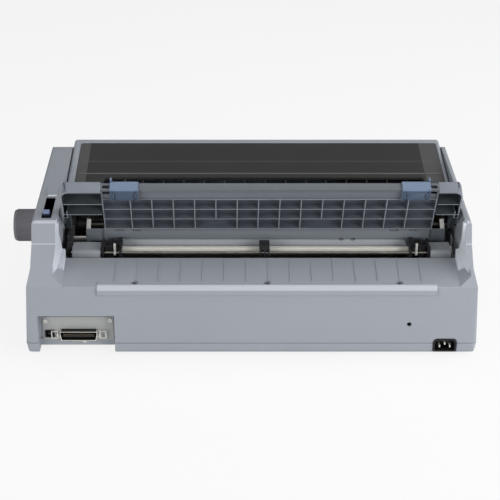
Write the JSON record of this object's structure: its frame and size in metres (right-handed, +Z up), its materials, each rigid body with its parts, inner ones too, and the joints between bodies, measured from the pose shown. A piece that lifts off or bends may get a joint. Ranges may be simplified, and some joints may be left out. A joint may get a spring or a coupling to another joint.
{
  "type": "dot matrix printer",
  "caption": "Wide-carriage dot matrix printer with smoked cover, raised ribbed paper guide, pin tractors, platen with feed knob and rear connectors.",
  "frame": {"origin": "middle of the footprint, on the table under the feet", "axes": "+Z up, -Y towards the connector side, +Y towards the operator, X along the platen with the feed knob at -X"},
  "size_m": [0.64, 0.4054, 0.2324],
  "materials": {
    "case_plastic": "moulded, fine grain",
    "case_base_plastic": "moulded, fine grain",
    "guide_plastic": "moulded, fine grain",
    "panel_plastic": "moulded",
    "blue_plastic": "moulded",
    "knob_plastic": "moulded",
    "black_plastic": "moulded",
    "dark_plastic": "moulded",
    "gear_plastic": "moulded",
    "smoke_window": "smoked, polished",
    "sheet_steel": "galvanized",
    "shaft_steel": "ground",
    "roller_rubber": "matt",
    "feet_rubber": "matt",
    "circuit_board": "satin"
  },
  "bodies": {
    "chassis": {"lower_case": "case_base_plastic", "upper_case": "case_plastic", "rubber_feet": "feet_rubber", "interface_plate": "sheet_steel", "plate_screws": "sheet_steel", "parallel_port": "sheet_steel", "usb_socket": "sheet_steel", "power_inlet": "black_plastic", "case_screws": "dark_plastic", "main_board": "circuit_board", "chassis_pan": "sheet_steel", "side_frames": "sheet_steel", "feed_bar": "panel_plastic", "platen_bushes": "dark_plastic", "feed_motor": "sheet_steel", "carriage_motor": "dark_plastic", "drive_belt": "black_plastic", "carriage_shaft": "shaft_steel", "carriage_rail": "sheet_steel", "tractor_frames": "case_plastic", "guide_rod": "shaft_steel", "control_panel": "panel_plastic"},
    "cover": {"cover_frame": "case_plastic", "cover_window": "smoke_window", "tear_bar": "case_plastic"},
    "paper_guide": {"guide_panel": "guide_plastic"},
    "edge_guide_left": {"edge_guide_left": "blue_plastic"},
    "edge_guide_right": {"edge_guide_right": "blue_plastic"},
    "platen": {"platen_roller": "roller_rubber", "platen_shaft": "shaft_steel", "platen_gear": "gear_plastic", "feed_knob": "knob_plastic"},
    "idler": {"idler_gear": "gear_plastic"},
    "pinion": {"motor_pinion": "gear_plastic"},
    "tractor_drive": {"drive_shaft": "shaft_steel", "tractor_gear": "gear_plastic"},
    "tractor_left": {"sprocket_left": "black_plastic"},
    "tractor_right": {"sprocket_right": "black_plastic"},
    "pin_wheel_left": {"pin_wheel_left": "dark_plastic"},
    "pin_wheel_right": {"pin_wheel_right": "dark_plastic"},
    "lid_left": {"sprocket_lid_left": "black_plastic"},
    "lid_right": {"sprocket_lid_right": "black_plastic"},
    "lock_left": {"lock_lever_left": "shaft_steel"},
    "lock_right": {"lock_lever_right": "shaft_steel"},
    "paper_support": {"paper_support": "dark_plastic"},
    "carriage": {"carriage": "dark_plastic", "print_head": "black_plastic", "ribbon_cartridge": "dark_plastic"},
    "gap_lever": {"gap_lever": "blue_plastic"},
    "release_lever": {"release_lever": "blue_plastic"},
    "bail_left": {"bail_left": "shaft_steel"},
    "bail_right": {"bail_right": "shaft_steel"},
    "power_switch": {"power_switch": "black_plastic"},
    "front_flap": {"front_cover": "case_plastic"},
    "button_1": {"button_1": "case_plastic"},
    "button_2": {"button_2": "case_plastic"},
    "button_3": {"button_3": "case_plastic"},
    "button_4": {"button_4": "case_plastic"},
    "button_5": {"button_5": "case_plastic"},
    "button_6": {"button_6": "case_plastic"}
  },
  "joints": [
    {"name": "cover_hinge", "type": "hinge", "parent": "chassis", "child": "cover", "pos_m": [0.024, -0.04625, 0.153], "axis": [1, 0, 0], "range_deg": [0, 70]},
    {"name": "guide_tilt", "type": "hinge", "parent": "chassis", "child": "paper_guide", "pos_m": [0.029, -0.07975, 0.142], "axis": [-1, 0, 0], "range_deg": [-50, 0]},
    {"name": "edge_guide_left_slide", "type": "slide", "parent": "paper_guide", "child": "edge_guide_left", "axis": [1, 0, 0], "range_m": [0, 0.06]},
    {"name": "edge_guide_right_slide", "type": "slide", "parent": "paper_guide", "child": "edge_guide_right", "axis": [-1, 0, 0], "range_m": [0, 0.27]},
    {"name": "platen_spin", "type": "hinge", "parent": "chassis", "child": "platen", "pos_m": [0.035, -0.03475, 0.118], "axis": [1, 0, 0], "continuous": true},
    {"name": "idler_spin", "type": "hinge", "parent": "chassis", "child": "idler", "pos_m": [-0.2355, -0.07266, 0.11535], "axis": [1, 0, 0], "continuous": true},
    {"name": "pinion_spin", "type": "hinge", "parent": "chassis", "child": "pinion", "pos_m": [-0.2355, -0.01611, 0.09578], "axis": [1, 0, 0], "continuous": true},
    {"name": "tractor_spin", "type": "hinge", "parent": "chassis", "child": "tractor_drive", "pos_m": [0.029, -0.10159, 0.11333], "axis": [1, 0, 0], "continuous": true},
    {"name": "tractor_left_slide", "type": "slide", "parent": "chassis", "child": "tractor_left", "axis": [1, 0, 0], "range_m": [0, 0.06]},
    {"name": "tractor_right_slide", "type": "slide", "parent": "chassis", "child": "tractor_right", "axis": [-1, 0, 0], "range_m": [0, 0.18]},
    {"name": "pin_wheel_left_spin", "type": "hinge", "parent": "tractor_left", "child": "pin_wheel_left", "pos_m": [-0.1767, -0.10159, 0.11333], "axis": [1, 0, 0], "continuous": true},
    {"name": "pin_wheel_right_spin", "type": "hinge", "parent": "tractor_right", "child": "pin_wheel_right", "pos_m": [0.2465, -0.10159, 0.11333], "axis": [1, 0, 0], "continuous": true},
    {"name": "lid_left_hinge", "type": "hinge", "parent": "tractor_left", "child": "lid_left", "pos_m": [-0.1885, -0.11125, 0.1266], "axis": [0, -1, 0], "range_deg": [0, 95]},
    {"name": "lid_right_hinge", "type": "hinge", "parent": "tractor_right", "child": "lid_right", "pos_m": [0.2583, -0.11125, 0.1266], "axis": [0, 1, 0], "range_deg": [0, 95]},
    {"name": "lock_left_hinge", "type": "hinge", "parent": "tractor_left", "child": "lock_left", "pos_m": [-0.1722, -0.11775, 0.116], "axis": [1, 0, 0], "range_deg": [0, 40]},
    {"name": "lock_right_hinge", "type": "hinge", "parent": "tractor_right", "child": "lock_right", "pos_m": [0.242, -0.11775, 0.116], "axis": [1, 0, 0], "range_deg": [0, 40]},
    {"name": "paper_support_slide", "type": "slide", "parent": "chassis", "child": "paper_support", "axis": [-1, 0, 0], "range_m": [0, 0.1]},
    {"name": "carriage_slide", "type": "slide", "parent": "chassis", "child": "carriage", "axis": [-1, 0, 0], "range_m": [0, 0.34]},
    {"name": "gap_lever_hinge", "type": "hinge", "parent": "chassis", "child": "gap_lever", "pos_m": [0.289, 0.02225, 0.096], "axis": [1, 0, 0], "range_deg": [0, 15]},
    {"name": "release_lever_hinge", "type": "hinge", "parent": "chassis", "child": "release_lever", "pos_m": [-0.2625, -0.09675, 0.149], "axis": [-1, 0, 0], "range_deg": [0, 70]},
    {"name": "bail_left_hinge", "type": "hinge", "parent": "chassis", "child": "bail_left", "pos_m": [-0.2478, -0.18925, 0.0275], "axis": [0, 0, 1], "range_deg": [0, 80]},
    {"name": "bail_right_hinge", "type": "hinge", "parent": "chassis", "child": "bail_right", "pos_m": [-0.191, -0.18925, 0.0275], "axis": [0, 0, -1], "range_deg": [0, 80]},
    {"name": "power_switch_hinge", "type": "hinge", "parent": "chassis", "child": "power_switch", "pos_m": [0.283, 0.19325, 0.062], "axis": [-1, 0, 0], "range_deg": [0, 16]},
    {"name": "front_flap_hinge", "type": "hinge", "parent": "chassis", "child": "front_flap", "pos_m": [0.035, 0.19325, 0.039], "axis": [-1, 0, 0], "range_deg": [0, 80]},
    {"name": "button_1_press", "type": "slide", "parent": "chassis", "child": "button_1", "axis": [0, -0.7338, -0.6794], "range_m": [0, 0.001], "stiffness_N_per_m": 300, "springref_m": -0.001},
    {"name": "button_2_press", "type": "slide", "parent": "chassis", "child": "button_2", "axis": [0, -0.7338, -0.6794], "range_m": [0, 0.001], "stiffness_N_per_m": 300, "springref_m": -0.001},
    {"name": "button_3_press", "type": "slide", "parent": "chassis", "child": "button_3", "axis": [0, -0.7338, -0.6794], "range_m": [0, 0.001], "stiffness_N_per_m": 300, "springref_m": -0.001},
    {"name": "button_4_press", "type": "slide", "parent": "chassis", "child": "button_4", "axis": [0, -0.7338, -0.6794], "range_m": [0, 0.001], "stiffness_N_per_m": 300, "springref_m": -0.001},
    {"name": "button_5_press", "type": "slide", "parent": "chassis", "child": "button_5", "axis": [0, -0.7338, -0.6794], "range_m": [0, 0.001], "stiffness_N_per_m": 300, "springref_m": -0.001},
    {"name": "button_6_press", "type": "slide", "parent": "chassis", "child": "button_6", "axis": [0, -0.7338, -0.6794], "range_m": [0, 0.001], "stiffness_N_per_m": 300, "springref_m": -0.001}
  ],
  "couplings": [
    {"joint": "idler_spin", "follows": "platen_spin", "ratio": -1.1111},
    {"joint": "pinion_spin", "follows": "platen_spin", "ratio": -2.2222},
    {"joint": "tractor_spin", "follows": "platen_spin", "ratio": 1.8182},
    {"joint": "pin_wheel_left_spin", "follows": "platen_spin", "ratio": 1.8182},
    {"joint": "pin_wheel_right_spin", "follows": "platen_spin", "ratio": 1.8182}
  ]
}
